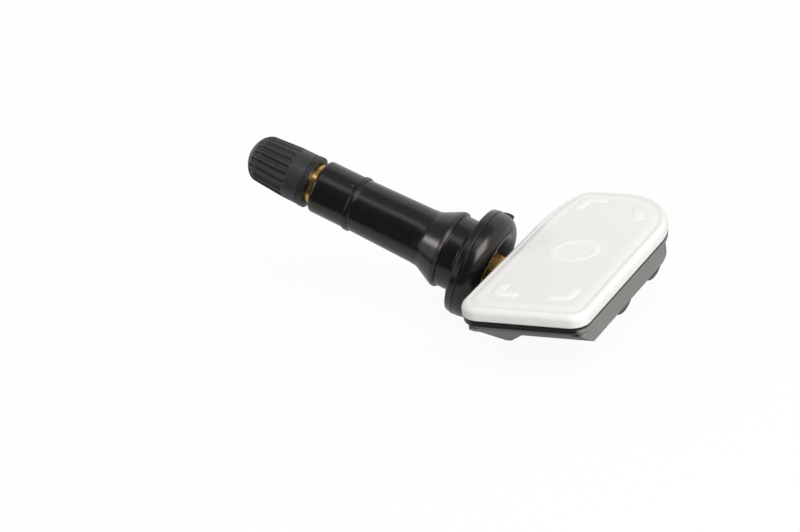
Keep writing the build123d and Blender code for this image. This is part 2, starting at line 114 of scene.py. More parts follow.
# Shades of the lid, which its finish turns into tone: 0 is greyest and 1 palest. The groove's is taken down
# as painted shade in that recess. Clouds and the far end lift the shades, and the sum is lowered.
FIELD_SHADE, MARK_SHADE = 0.45, 1.0
GROOVE_PAINTED_SHADE, CREST_SHADE, DISC_SHADE, RING_SHADE = 0.3, 0.27, 0.22, 0.25
CLOUD_LIFT, FAR_LIFT, SHADE_DROP = 0.12, 0.5, 0.31

# The size of the clouds in each finish.
RUBBER_MOTTLE, RUBBER_GRAIN = 2.5 * MM, 0.12 * MM
CAP_MOTTLE, CAP_SCUFF, CAP_GRAIN = 1.6 * MM, 0.5 * MM, 0.1 * MM
BRASS_TARNISH, BRASS_DENT, INNER_WAVER = 1.2 * MM, 1.3 * MM, 1.5 * MM
LID_CLOUD, LID_GRAIN = 7 * MM, 0.25 * MM
HOUSING_MOTTLE, HOUSING_SPECKLE = 1.1 * MM, 0.35 * MM

# The start and end of a fade between two looks: the dish's radius and place along the valve, the tail's
# place, the cap's place from its rim band's top, and the painted sheen's place in from the housing's
# outermost face, its height, and the height from the lid's foot where it stops, leaving a painted shadow
# line under the lid.
DISH_EDGE, DISH_MOUTH = (5.0 * MM, 6.4 * MM), (-6.5 * MM, -5.0 * MM)
TAIL_PAINTED_LIGHT_FADE, BAND_FADE = (0.0, 10 * MM), (-0.3 * MM, 0.5 * MM)
PAINTED_SHEEN_WALL, PAINTED_SHEEN_FOOT, PAINTED_SHADOW_LINE = (-1.8 * MM, -0.8 * MM), (-5.2 * MM, -5.0 * MM), (-0.45 * MM, -0.25 * MM)

# Tint of the gloss on the black pieces, which is a little warm.
WARM_GLOSS = (1.0, 0.95, 0.91, 1.0)

# Inner finishes: the nodes that wear one, its tone, its roughness and how metallic it is.
INNER_FINISHES = {
    "seal_black": (("cap_seal", "cup_seal", "port_seal"), (0.01, 0.01, 0.01), 0.4, 0.0),
    "seal_red": (("barrel_gasket",), (0.32, 0.03, 0.02), 0.4, 0.0),
    "screw_steel": (("stem_screw",), (0.50, 0.50, 0.49), 0.28, 1.0),
    "board_green": (("circuit_board",), (0.02, 0.12, 0.04), 0.4, 0.0),
    "cell_steel": (("coin_cell", "cell_top_tab", "cell_bottom_tab", "crystal"), (0.6, 0.6, 0.58), 0.3, 1.0),
    "chip_black": (("pressure_sensor", "chip_parts"), (0.02, 0.02, 0.02), 0.4, 0.0),
    "coil_copper": (("trigger_coil", "radio_antenna"), (0.55, 0.22, 0.1), 0.3, 1.0),
    "potting_grey": (("potting",), (0.12, 0.12, 0.115), 0.5, 0.0),
}
CORE_BRASS = ("core_plug", "core_barrel", "core_pin", "core_cup")
SPRING_STEEL = ((0.55, 0.55, 0.54), 0.25, 1.0)

# Softboxes, whose power is a setting: where each stands, its width and its height, in metres.
SOFTBOXES = {
    "overhead": ((0.045, -0.190, 0.460), 0.40, 0.12),
    "front_left": ((-0.385, -0.180, 0.265), 0.15, 0.10),
    "front_right": ((0.490, -0.294, 0.404), 0.52, 0.45),
}

# Dim cards: where each stands and what it faces, its half width and half height in metres, its strength,
# and whether it lights and shades the scene or is only mirrored.
CARDS = {
    "front_card": ((0.27, -0.79, 0.32), (0, 0, 0), 1.0, 0.75, 0.10, True),
    "mat": ((0, -1.033, cad_box[0].z + 0.5 * MM), (0, -1.033, 1), 1.2, 1.0, 0.10, False),
    "ceiling": ((0, -0.3, 1.0), (0, -0.3, 0), 1.2, 0.9, 0.4, False),
}

# The floor: half its width in metres, its tone for light and for the eye, and how far it glows white to
# the eye and, as a share of that, to mirrors.
FLOOR_HALF = 3.0
FLOOR_TONE, FLOOR_SEEN_TONE = (0.55, 0.55, 0.55), (0.9, 0.9, 0.9)
FLOOR_GLOW, FLOOR_MIRRORED = 0.94, 0.55

# The valve's axis, from the frame: AXIS points at the cap, UP and SIDE are square to it.
JOINTS = {joint["name"]: joint for joint in frame["joints"]}
AXIS = np.array(JOINTS["cap_turn"]["axis"]) / np.linalg.norm(JOINTS["cap_turn"]["axis"])
SIDE = np.array([0.0, 1.0, 0.0])
UP = np.cross(SIDE, AXIS)


def reach(node):
    """The lowest and highest place along the valve's axis, and the greatest radius, of a CAD node."""
    mesh = frame["nodes"][node].data
    corners = np.empty(len(mesh.vertices) * 3)
    mesh.vertices.foreach_get("co", corners)
    corners = corners.reshape(-1, 3)
    place = corners @ AXIS
    radius = np.linalg.norm(corners - place[:, None] * AXIS, axis=1)
    return place.min(), place.max(), radius.max()


CAP_RIM, CAP_TIP, CAP_RIM_RADIUS = reach("valve_cap")
STEM_TAIL, STEM_MOUTH, COLLAR_RADIUS = reach("valve_stem")
RUBBER_BASE, RUBBER_NECK, FLANGE_RADIUS = reach("valve_rubber")
SPRING_LOW, SPRING_HIGH, SPRING_RADIUS = reach("core_spring")
LID_LOW, LID_HIGH = (np.array(corner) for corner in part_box("housing_lid"))


def size(name, millimetres, description):
    """A length setting, given in millimetres."""
    return bpy.props.FloatProperty(
        name=name,
        description=description,
        default=millimetres * MM,
        precision=5,
        unit="LENGTH",
        subtype="DISTANCE",
    )


def angle(name, degrees, description):
    """An angle setting, given in degrees."""
    return bpy.props.FloatProperty(
        name=name, description=description, default=math.radians(degrees), subtype="ANGLE"
    )


def number(name, count, description):
    """A setting that counts something."""
    return bpy.props.IntProperty(name=name, description=description, default=count, min=1)


def colour(name, value, description):
    """A colour setting, given as linear values."""
    return bpy.props.FloatVectorProperty(
        name=name, description=description, default=value, size=3, min=0, max=1, subtype="COLOR"
    )


def spot(name, metres, description):
    """A setting of a point, given in metres."""
    return bpy.props.FloatVectorProperty(
        name=name, description=description, default=metres, unit="LENGTH", subtype="TRANSLATION"
    )


def power(name, watts, description):
    """A setting of a lamp's power, given in watts."""
    return bpy.props.FloatProperty(name=name, description=description, default=watts, subtype="POWER")


class SensorRubberSizes(bpy.types.PropertyGroup):
    """Sizes of the moulded rubber; places are along the valve's axis from the rim groove."""

    neck_radius: size("Neck radius", 5.02, "Radius of the neck under the cap")
    neck_round: size("Neck round", 0.7, "Round on the neck's end")
    ridge_radius: size("Ridge radius", 5.27, "Radius of the ridge below the neck")
    ridge_place: size("Ridge place", 20.2, "Place of the ridge's lower side")
    ridge_width: size("Ridge width", 0.9, "Width of the ridge")
    ridge_round: size("Ridge round", 0.22, "Round on the ridge's edges")
    barrel_end: size("Barrel end", 4.98, "Radius of the barrel under the ridge")
    barrel_start: size("Barrel start", 5.27, "Radius of the barrel where the flare begins")
    barrel_place: size("Barrel place", 7.2, "Place where the barrel's taper ends")
    barrel_round: size("Barrel round", 8.0, "Round between the barrel and the flare")
    flare_radius: size("Flare radius", 5.42, "Radius of the flare's narrow end")
    flare_place: size("Flare place", 5.6, "Place of the flare's narrow end")
    flare_round: size("Flare round", 2.5, "Round at the flare's narrow end")
    shoulder_radius: size("Shoulder radius", 7.25, "Radius of the shoulder above the groove")
    shoulder_width: size("Shoulder width", 0.9, "Width of the shoulder")
    shoulder_round: size("Shoulder round", 0.5, "Round on the shoulder")
    groove_radius: size("Groove radius", 6.85, "Radius of the groove for the wheel's rim")
    groove_top: size("Groove top", 1.0, "Place of the groove's upper side")
    groove_width: size("Groove width", 2.9, "Width of the groove")
    groove_round: size("Groove round", 0.3, "Round in the groove's corners")
    lip_foot_radius: size("Lip foot radius", 8.5, "Radius of the lip's foot")
    lip_foot_place: size("Lip foot place", -2.3, "Place of the lip's foot")
    lip_radius: size("Lip radius", 10.0, "Radius of the flange's lip")
    lip_place: size("Lip place", -2.95, "Place of the flange's lip")
    lip_round: size("Lip round", 0.25, "Round on the lip")
    flange_place: size("Flange place", -4.15, "Place of the flange's widest line")
    seam_depth: size("Seam depth", 0.18, "Depth of the mould seam on the flange")
    seam_width: size("Seam width", 0.35, "Width of the mould seam")
    back_radius: size("Back radius", 10.0, "Radius where the flange's back begins")
    back_round: size("Back round", 2.8, "Round of the flange's back")
    crown_radius: size("Crown radius", 6.6, "Radius where the back turns in to the dish")
    crown_round: size("Crown round", 1.6, "Round of that turn")
    dish_radius: size("Dish radius", 4.8, "Radius of the dish's floor round the stem")
    dish_depth: size("Dish depth", 2.2, "Depth of the dish")
    flap_start: size("Flap start", -4.5, "Place where the flap of flash leaves the seam")
    flap_end: size("Flap end", -6.0, "Place of the flap's tip")
    flap_height: size("Flap height", 0.95, "Height of the flap's tip")
    flap_half: size("Flap half thickness", 0.1, "Half the thickness of the flap")
    flap_from: angle("Flap from", 26, "Angle round the flange where the flap starts")
    flap_to: angle("Flap to", 51, "Angle round the flange of the flap's tip")
    line_height: size("Line height", 0.08, "Height of the fine mould lines on the shoulder")
    line_gap: size("Line gap", 0.3, "Distance between the mould lines")
    pip_place: size("Pip place", 21.82, "Place of the moulded pip on the neck")
    pip_angle: angle("Pip angle", -26.8, "Angle of the pip round the neck")
    pip_radius: size("Pip radius", 0.35, "Radius of the pip")
    pip_height: size("Pip height", 0.2, "Height of the pip")


class SensorCapSizes(bpy.types.PropertyGroup):
    """Sizes of the fluted cap."""

    radius: size("Radius", 4.87, "Radius of the plain wall")
    rim_height: size("Rim height", 1.1, "Height of the plain band at the rim")
    rim_round: size("Rim round", 0.12, "Round on the rim band's edges")
    taper_length: size("Taper length", 5.1, "Length of the taper under the dome")
    dome_radius: size("Dome radius", 4.5, "Radius at the dome's foot")
    dome_height: size("Dome height", 3.4, "Height of the dome")
    dome_round: size("Dome round", 2.7, "Radius of the dome's corner arc")
    flute_count: number("Flute count", 20, "Number of flutes round the cap")
    flute_width: size("Flute width", 1.15, "Width of one flute")
    flute_depth: size("Flute depth", 0.46, "Depth of one flute")
    flute_length: size("Flute length", 8.0, "Length of one flute")
    flute_start: size("Flute start", 1.3, "Distance from the tip to a flute's upper end")
    flute_edge: size("Flute edge", 0.44, "Width over which a flute's edge rolls in")
    neck_depth: size("Rim groove depth", 0.2, "Depth of the groove above the rim band")
    bore_end: size("Bore end", 38.9, "Place of the bore's end")


class SensorStemSizes(bpy.types.PropertyGroup):
    """Sizes of the brass stem."""

    thread_radius: size("Thread radius", 3.87, "Radius over the thread's crests")
    thread_pitch: size("Thread pitch", 0.79375, "Advance of the thread in one turn")
    thread_depth: size("Thread depth", 0.42, "Depth of the thread")
    thread_fit: size("Thread fit", 0.05, "Clearance between the two threads")
    mouth_chamfer: size("Mouth chamfer", 0.4, "Chamfer at the mouth")
    bore_radius: size("Bore radius", 2.65, "Radius of the bore for the core")
    bore_depth: size("Bore depth", 5.9, "Depth of the bore to the core's seat")
    seat_radius: size("Seat radius", 2.0, "Radius of the air way below the core's seat")
    shank_radius: size("Shank radius", 2.9, "Radius of the stem in the rubber")
    collar_place: size("Collar place", -3.1, "Place of the collar in the rubber")
    collar_width: size("Collar width", 2.0, "Width of the collar")
    ring_radius: size("Ring radius", 3.7, "Radius of the seat ring in the rubber's dish")
    ring_width: size("Ring width", 0.6, "Width of the seat ring")
    hexagon: size("Hexagon", 6.2, "Width across the hexagon's flats")
    hexagon_length: size("Hexagon length", 4.1, "Length of the hexagon")
    tail_radius: size("Tail radius", 3.2, "Radius of the tail in the housing")
    flats: size("Flats", 5.4, "Width across the tail's flats")
    flat_length: size("Flat length", 1.8, "Length of the tail's flats")
    port_place: size("Port place", -9.0, "Place of the air port in the tail")
    port_radius: size("Port radius", 0.7, "Radius of the air port")
    screw_radius: size("Screw radius", 1.45, "Radius of the screw hole in the tail")
    screw_depth: size("Screw depth", 3.0, "Depth of the screw hole")


class SensorSpringSizes(bpy.types.PropertyGroup):
    """Sizes of the coil spring in the valve core; its ends and width come from the frame."""

    wire: size("Wire", 0.16, "Radius of the wire")
    slack: size("Slack", 0.02, "Clearance at each end")
    turns: number("Turns", 6, "Number of turns")


class SensorLidSizes(bpy.types.PropertyGroup):
    """Sizes of the white lid; its outer box comes from the frame."""

    roll: size("Rolled edge", 1.25, "Radius of the rolled edge")
    foot_round: size("Foot round", 0.3, "Round at the wall's foot")
    wall: size("Wall", 1.3, "Thickness of the lid")
    skirt: size("Skirt", 2.0, "Width of the skirt that stands on the base")
    near_left: size("Near left round", 4.1, "Round of the near left corner")
    near_right: size("Near right round", 2.9, "Round of the near right corner")
    far_right_x: size("Far right half width", 13.2, "Half width of the far right oval")
    far_right_y: size("Far right half length", 15.8, "Half length of the far right oval")
    far_left_x: size("Far left half width", 4.9, "Half width of the far left oval")
    far_left_y: size("Far left half length", 16.1, "Half length of the far left oval")
    border_inset: size("Border inset", 1.4, "Inset of the border groove's middle")
    border_width: size("Border width", 0.5, "Half width of the border groove")
    border_depth: size("Border depth", 0.17, "Depth of the border groove")
    crest_inset: size("Crest inset", 2.9, "Inset of the crest inside the groove")
    crest_width: size("Crest width", 0.7, "Half width of the crest")
    crest_height: size("Crest height", 0.03, "Height of the crest")
    field_inset: size("Field inset", 4.6, "Inset of the flat field")
    mark_height: size("Mark height", 0.12, "Height of the raised marks")
    mark_x: size("Mark offset across", 6.7, "Offset of the marks from the middle line")
    mark_near: size("Near marks", -19.1, "Place of the near marks along the lid")
    mark_far: size("Far mark", 21.9, "Place of the far left mark along the lid")
    mark_arm: size("Mark arm", 4.2, "Length of a mark's arm")
    mark_width: size("Mark width", 2.1, "Width of a mark")
    ring_radius: size("Ring radius", 4.0, "Radius of the centre ring's crest")
    ring_width: size("Ring width", 0.6, "Half width of the centre ring")
    disc_radius: size("Disc radius", 5.0, "Radius of the disc that carries the ring")
    gate_radius: size("Gate radius", 0.45, "Radius of the moulding gate's dot")


class SensorColours(bpy.types.PropertyGroup):
    """Colours of the finishes, as linear values."""

    rubber: colour("Rubber", (0.0045, 0.0042, 0.0042), "Moulded black rubber")
    cap: colour("Cap", (0.021, 0.021, 0.022), "Black plastic of the cap")
    brass: colour("Brass", (0.66, 0.41, 0.14), "Brass of the stem and the core")
    lid: colour("Lid", (0.86, 0.85, 0.82), "White plastic of the lid")
    housing: colour("Housing", (0.010, 0.009, 0.009), "Black plastic of the housing")
    # The wall's grey is a painted sheen, which stands in for the pale surroundings that the wall reflects.
    painted_sheen: colour("Wall bloom", (0.225, 0.216, 0.208), "Grey bloom on the housing's outer wall")


class SensorStageSettings(bpy.types.PropertyGroup):
    """Camera, lights and backdrop."""

    camera_place: spot("Camera place", (0.23199, -0.44000, 0.21306), "Where the camera stands")
    camera_aim: spot("Camera aim", (-0.00855, -0.00622, -0.00044), "The point in the middle of the picture")
    camera_roll: angle("Camera roll", -8.23, "Turn of the camera about its view")
    camera_lens: bpy.props.FloatProperty(
        name="Camera lens", description="Focal length in millimetres", default=135.05, unit="CAMERA"
    )
    surround: bpy.props.FloatProperty(
        name="Surround", description="Strength of the light from all round", default=0.4, min=0
    )
    overhead: power("Overhead", 0.20, "Power of the softbox overhead")
    front_left: power("Front left", 0.38, "Power of the softbox at the left")
    front_right: power("Front right", 4.75, "Power of the softbox at the right")


def rgba(tone, share=1.0):
    """A tone scaled by a share, with full alpha."""
    return (*(channel * share for channel in tone), 1.0)


class Wire:
    """A socket of a node tree: sums, differences and products of it add Math nodes."""

    def __init__(self, tree, socket=None):
        self.tree = tree
        self.socket = socket

    def node(self, kind, settings, sockets, output=0):
        """A new node: its settings are set first, then each named socket gets a value or a link."""
        made = self.tree.nodes.new(kind)
        for name, value in settings.items():
            setattr(made, name, value)
        for key, value in sockets.items():
            if isinstance(value, Wire):
                self.tree.links.new(value.socket, made.inputs[key])
            else:
                made.inputs[key].default_value = value
        return Wire(self.tree, made.outputs[output] if made.outputs else None)

    def math(self, operation, *values):
        """A Math node on values and links."""
        return self.node("ShaderNodeMath", {"operation": operation}, dict(enumerate(values)))

    def vector(self, operation, output, *values):
        """A Vector Math node on values and links."""
        return self.node("ShaderNodeVectorMath", {"operation": operation}, dict(enumerate(values)), output)

    def __add__(self, other):
        return self.math("ADD", self, other)

    def __radd__(self, other):
        return self.math("ADD", other, self)

    def __sub__(self, other):
        return self.math("SUBTRACT", self, other)

    def __rsub__(self, other):
        return self.math("SUBTRACT", other, self)

    def __mul__(self, other):
        return self.math("MULTIPLY", self, other)

    def __rmul__(self, other):
        return self.math("MULTIPLY", other, self)

    def step(self, fade, base=0.0):
        """A smooth step from 0 at a fade's start to 1 at its end, both counted from the base."""
        sockets = {"Value": self, "From Min": base + fade[0], "From Max": base + fade[1]}
        return self.node("ShaderNodeMapRange", {"interpolation_type": "SMOOTHSTEP"}, sockets)

    def noise(self, grain, detail=3.0):
        """Cloud noise at this place, from 0 to 1, whose clouds are about the grain across."""
        sockets = {"Vector": self, "Scale": 1 / grain, "Detail": detail}
        return self.node("ShaderNodeTexNoise", {}, sockets, "Fac")

    def blend(self, first, second):
        """The first colour where this value is 0, and the second where it is 1."""
        sockets = {"Factor": self, 6: first, 7: second}
        return self.node("ShaderNodeMix", {"data_type": "RGBA"}, sockets, 2)

    def tones(self, tone, low, high):
        """A tone scaled by the low share where this value is 0, and by the high one where it is 1."""
        return self.blend(rgba(tone, low), rgba(tone, high))

    def relief(self, height):
        """A normal bent by this value as a relief of that height."""
        return self.node("ShaderNodeBump", {}, {"Height": self, "Distance": height}, "Normal")

    def axis(self, letter):
        """One coordinate of this place."""
        return self.node("ShaderNodeSeparateXYZ", {}, {"Vector": self}, letter)

    def along_valve(self):
        """The distance of this place along the valve's axis."""
        return self.vector("DOT_PRODUCT", "Value", self, AXIS)

    def from_valve(self):
        """The distance of this place from the valve's axis: the length of its cross product with it."""
        return self.vector("LENGTH", "Value", self.vector("CROSS_PRODUCT", "Vector", self, AXIS))


def bare_tree(owner):
    """The start of an emptied node tree, of a material or a world."""
    owner.use_nodes = True
    owner.node_tree.nodes.clear()
    return Wire(owner.node_tree)


def finish(name, paint):
    """A material whose shader takes the socket values that paint works out from the object's place."""
    material = bpy.data.materials.new(name)
    start = bare_tree(material)
    place = start.node("ShaderNodeTexCoord", {}, {}, "Object")
    shader = start.node("ShaderNodeBsdfPrincipled", {}, paint(place), "BSDF")
    start.node("ShaderNodeOutputMaterial", {}, {"Surface": shader})
    return material


def tone_of(finish_name):
    """The colour that a user has given a finish."""
    return getattr(bpy.context.scene.sensor_colours, finish_name)


def rubber_paint(place):
    """Glossy black rubber with a slow mottle over a fine grain, and dull inside the base's dish."""
    mottle = place.noise(RUBBER_MOTTLE)
    grain = place.noise(RUBBER_GRAIN, detail=2.0)
    in_dish = (1 - place.from_valve().step(DISH_EDGE)) * (1 - place.along_valve().step(DISH_MOUTH))
    return {
        "Base Color": mottle.tones(tone_of("rubber"), 0.75, 1.35),
        "Roughness": 0.185 + 0.11 * mottle + 0.5 * in_dish,
        "Specular Tint": WARM_GLOSS,
        "Normal": grain.relief(height=0.004 * MM),
    }


def cap_paint(place):
    """Satin black plastic of the cap with a soft mottle; its rim band is darker and scuffed."""
    tone = tone_of("cap")
    mottle = place.noise(CAP_MOTTLE)
    grain = place.noise(CAP_GRAIN, detail=2.0)
    scuff = place.noise(CAP_SCUFF)
    wall = place.along_valve().step(BAND_FADE, base=CAP_RIM + bpy.context.scene.sensor_cap.rim_height)
    return {
        "Base Color": wall.blend(rgba(tone, 0.25), mottle.tones(tone, 0.8, 1.25)),
        "Roughness": 0.40 + 0.1 * mottle,
        "Normal": (0.04 * grain + (1 - wall) * scuff).relief(height=0.1 * MM),
    }


def brass_paint(place):
    """Turned brass, unevenly tarnished: darker under the cap; on the tail dented, and paler as painted
    light.
    """
    tone = tone_of("brass")
    tarnish = place.noise(BRASS_TARNISH)
    dent = place.noise(BRASS_DENT, detail=1.0)
    tail = 1 - place.along_valve().step(TAIL_PAINTED_LIGHT_FADE)
    return {
        # The tail's paler tone is painted light, which stands in for glints on its faces.
        "Base Color": tail.blend(tarnish.tones(tone, 0.6, 1.0), tarnish.tones(tone, 1.1, 1.45)),
        "Metallic": 1.0,
        "Roughness": 0.12 + 0.14 * tarnish + 0.08 * tail,
        "Normal": (tail * dent).relief(height=0.07 * MM),
    }


def lid_paint(place):
    """White moulded plastic, faintly cloudy, paler to the far end, and with painted shade in its border
    groove.
    """
    cloud = place.noise(LID_CLOUD, detail=2.0)
    grain = place.noise(LID_GRAIN, detail=2.0)
    shade = place.node("ShaderNodeAttribute", {"attribute_name": "shade"}, {}, "Fac")
    far = place.axis("Y").step((LID_LOW[1], LID_HIGH[1]))
    pale = shade + CLOUD_LIFT * cloud + FAR_LIFT * far - SHADE_DROP
    return {
        "Base Color": pale.tones(tone_of("lid"), 0.93, 1.08),
        "Roughness": 0.50 + 0.06 * cloud,
        "Normal": grain.relief(height=0.003 * MM),
    }


def housing_paint(place):
    """Black glass-filled plastic whose outer wall has a painted sheen, and a painted shadow line under the
    lid.
    """
    mottle = place.noise(HOUSING_MOTTLE)
    speckle = place.noise(HOUSING_SPECKLE)
    height = place.axis("Z")
    # A painted sheen on the outer wall, above its foot and short of the lid, where a painted shadow line
    # stays black.
    painted_sheen = place.axis("X").step(PAINTED_SHEEN_WALL, base=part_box("housing_base")[1].x)
    painted_sheen = painted_sheen * height.step(PAINTED_SHEEN_FOOT) * (1 - height.step(PAINTED_SHADOW_LINE, base=LID_LOW[2]))
    black = mottle.tones(tone_of("housing"), 0.8, 1.3)
    grey = speckle.tones(tone_of("painted_sheen"), 0.85, 1.15)
    return {
        "Base Color": painted_sheen.blend(black, grey),
        "Roughness": 0.36 + 0.08 * mottle + 0.2 * painted_sheen,
        "Specular Tint": WARM_GLOSS,
        "Normal": speckle.relief(height=0.006 * MM),
    }


def plain_paint(tone, rough, metal):
    """A paint whose tone and roughness waver a little, for the inner pieces."""

    def paint(place):
        waver = place.noise(INNER_WAVER)
        return {
            "Base Color": waver.tones(tone, 0.8, 1.0),
            "Metallic": metal,
            "Roughness": rough + 0.1 * waver,
        }

    return paint


def rounded(corners):
    """A closed line through (radius, place, round) corners; a round's arc is swung from leg to leg."""
    points = np.array([corner[:2] for corner in corners], float)
    rounds = [corner[2] if len(corner) > 2 else 0.0 for corner in corners]
    share = np.linspace(0, 1, ROUND_POINTS)[:, None]
    line = []
    for point, before, after, radius in zip(points, np.roll(points, 1, 0), np.roll(points, -1, 0), rounds):
        if not radius:
            line.append(point[None])
            continue
        leg_in = (before - point) / np.linalg.norm(before - point)
        leg_out = (after - point) / np.linalg.norm(after - point)
        half = math.acos(np.clip(leg_in @ leg_out, -1, 1)) / 2
        middle = (leg_in + leg_out) / np.linalg.norm(leg_in + leg_out)
        centre = point + middle * radius / math.sin(half)
        start = point + leg_in * radius / math.tan(half) - centre
        end = point + leg_out * radius / math.tan(half) - centre
        swing = math.pi - 2 * half
        swung = np.sin((1 - share) * swing) * start + np.sin(share * swing) * end
        line.append(centre + swung / math.sin(swing))
    return np.vstack(line)


def arc(x, y, radius, start, end, points):
    """A line of points about (x, y) from one angle to another: the cosine across and the sine up."""
    turn = np.linspace(start, end, points)
    return np.column_stack([x + radius * np.cos(turn), y + radius * np.sin(turn)])


def lengths(line):
    """The distance along a line at each of its points."""
    return np.concatenate([[0], np.cumsum(np.linalg.norm(np.diff(line, axis=0), axis=1))])


def dense(line, step):
    """The line with points added so that no stretch of it is longer than the step."""
    line = np.asarray(line)
    along = lengths(line)
    knots = np.union1d(along, np.arange(0, along[-1], step))
    return np.column_stack([np.interp(knots, along, line[:, column]) for column in range(line.shape[1])])


def full_turn(columns):
    """Even angles once round, as a row."""
    return np.linspace(0, TURN, columns, endpoint=False)[None]


def on_valve(radius, place, turn):
    """Points at a radius, a place along the valve's axis and an angle round it."""
    radius, place, turn = np.broadcast_arrays(radius, place, turn)
    outward = np.cos(turn)[..., None] * UP + np.sin(turn)[..., None] * SIDE
    return place[..., None] * AXIS + radius[..., None] * outward


def stacked(rings):
    """Points of (plan, height) rings: each plan lifted to its height."""
    return np.array([np.column_stack([plan, np.full(len(plan), height)]) for plan, height in rings])


def grid(points, closed_rows=False):
    """Corners and four-sided faces of a grid of points whose columns run round, and whose rows may."""
    rows, columns = points.shape[:2]
    index = np.arange(rows * columns).reshape(rows, columns)
    index = np.hstack([index, index[:, :1]])
    if closed_rows:
        index = np.vstack([index, index[:1]])
    faces = np.stack([index[:-1, :-1], index[:-1, 1:], index[1:, 1:], index[1:, :-1]], -1)
    return points.reshape(-1, 3), faces.reshape(-1, 4)


def new_mesh(name, corners, faces):
    """A mesh of corners and faces."""
    mesh = bpy.data.meshes.new(name)
    mesh.from_pydata(corners, [], faces)
    return mesh


def tidy_mesh(mesh, merge, crease):
    """Merges doubles, turns faces outwards and shades smooth up to the crease angle."""
    work = bmesh.new()
    work.from_mesh(mesh)
    bmesh.ops.remove_doubles(work, verts=work.verts, dist=merge)
    bmesh.ops.recalc_face_normals(work, faces=work.faces)
    work.to_mesh(mesh)
    work.free()
    mesh.shade_smooth()
    mesh.set_sharp_from_angle(angle=crease)


def linked(name, data):
    """An object at the origin that shows the data in the scene."""
    made = bpy.data.objects.new(name, data)
    bpy.context.scene.collection.objects.link(made)
    return made


def wear(mesh, material):
    """Gives a mesh one material and no other."""
    mesh.materials.clear()
    mesh.materials.append(material)


def piece(name, grids, body, node, material, shades=None, crease=CREASE):
    """A mesh object from grids of (corners, faces) that rides on a body in place of a CAD node; shades
    are values at the corners that its finish reads."""
    corners = np.vstack([points for points, faces in grids])
    starts = np.cumsum([0] + [len(points) for points, faces in grids[:-1]])
    faces = np.vstack([faces + start for start, (points, faces) in zip(starts, grids)])
    mesh = new_mesh(name, corners, faces.tolist())
    if shades is not None:
        mesh.attributes.new("shade", "FLOAT", "POINT").data.foreach_set("value", shades)
    tidy_mesh(mesh, MERGE, crease)
    wear(mesh, material)
    made = linked(name, mesh)
    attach(made, body)
    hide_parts(node)
    return made


def thread_wave(place, turn, pitch):
    """A right-hand thread's height from 0 in the root to 1 on the crest: a blunted triangle wave of
    the place in pitches less the angle in turns."""
    phase = (place / pitch - turn / TURN) % 1.0
    return np.clip(THREAD_STRETCH * (1 - np.abs(2 * phase - 1)) - THREAD_DROP, 0, 1)


def mould_line(s, place):
    """Corners of a fine ridge round the shoulder, four times as wide as it is high."""
    half = 2 * s.line_height
    crest = s.shoulder_radius + s.line_height
    return [(s.shoulder_radius, place + half), (crest, place), (s.shoulder_radius, place - half)]


def pip(s):
    """A moulded pip on the neck: a low ellipsoid, sunk to its middle."""
    rows, columns = PIP_GRID
    fall = np.linspace(0, math.pi, rows)[:, None]
    turn = full_turn(columns)
    along = s.pip_radius * np.sin(fall) * np.cos(turn)
    across = s.pip_radius * np.sin(fall) * np.sin(turn)
    radius = s.neck_radius + s.pip_height * np.cos(fall)
    return grid(on_valve(radius, s.pip_place + along, s.pip_angle + across / s.neck_radius))


def flap(s):
    """A thin fin of flash: an oval, tall along the radius, that is carried from the seam down the
    flange's back while it grows evenly to its pointed tip."""
    rows, columns = FLAP_GRID
    share = np.linspace(0, 1, rows)[:, None]
    turn = full_turn(columns)
    ends = np.clip(np.minimum(share, 1 - share) / FLAP_CLOSE, 0, 1)
    grown = (FLAP_START + (1 - FLAP_START) * share) * ends
    radius = s.back_radius + s.flap_height * grown * np.cos(turn)
    middle = s.flap_start + (s.flap_end - s.flap_start) * share
    place = middle + s.flap_half * np.sqrt(grown) * np.sin(turn)
    return grid(on_valve(radius, place, s.flap_from + (s.flap_to - s.flap_from) * share))


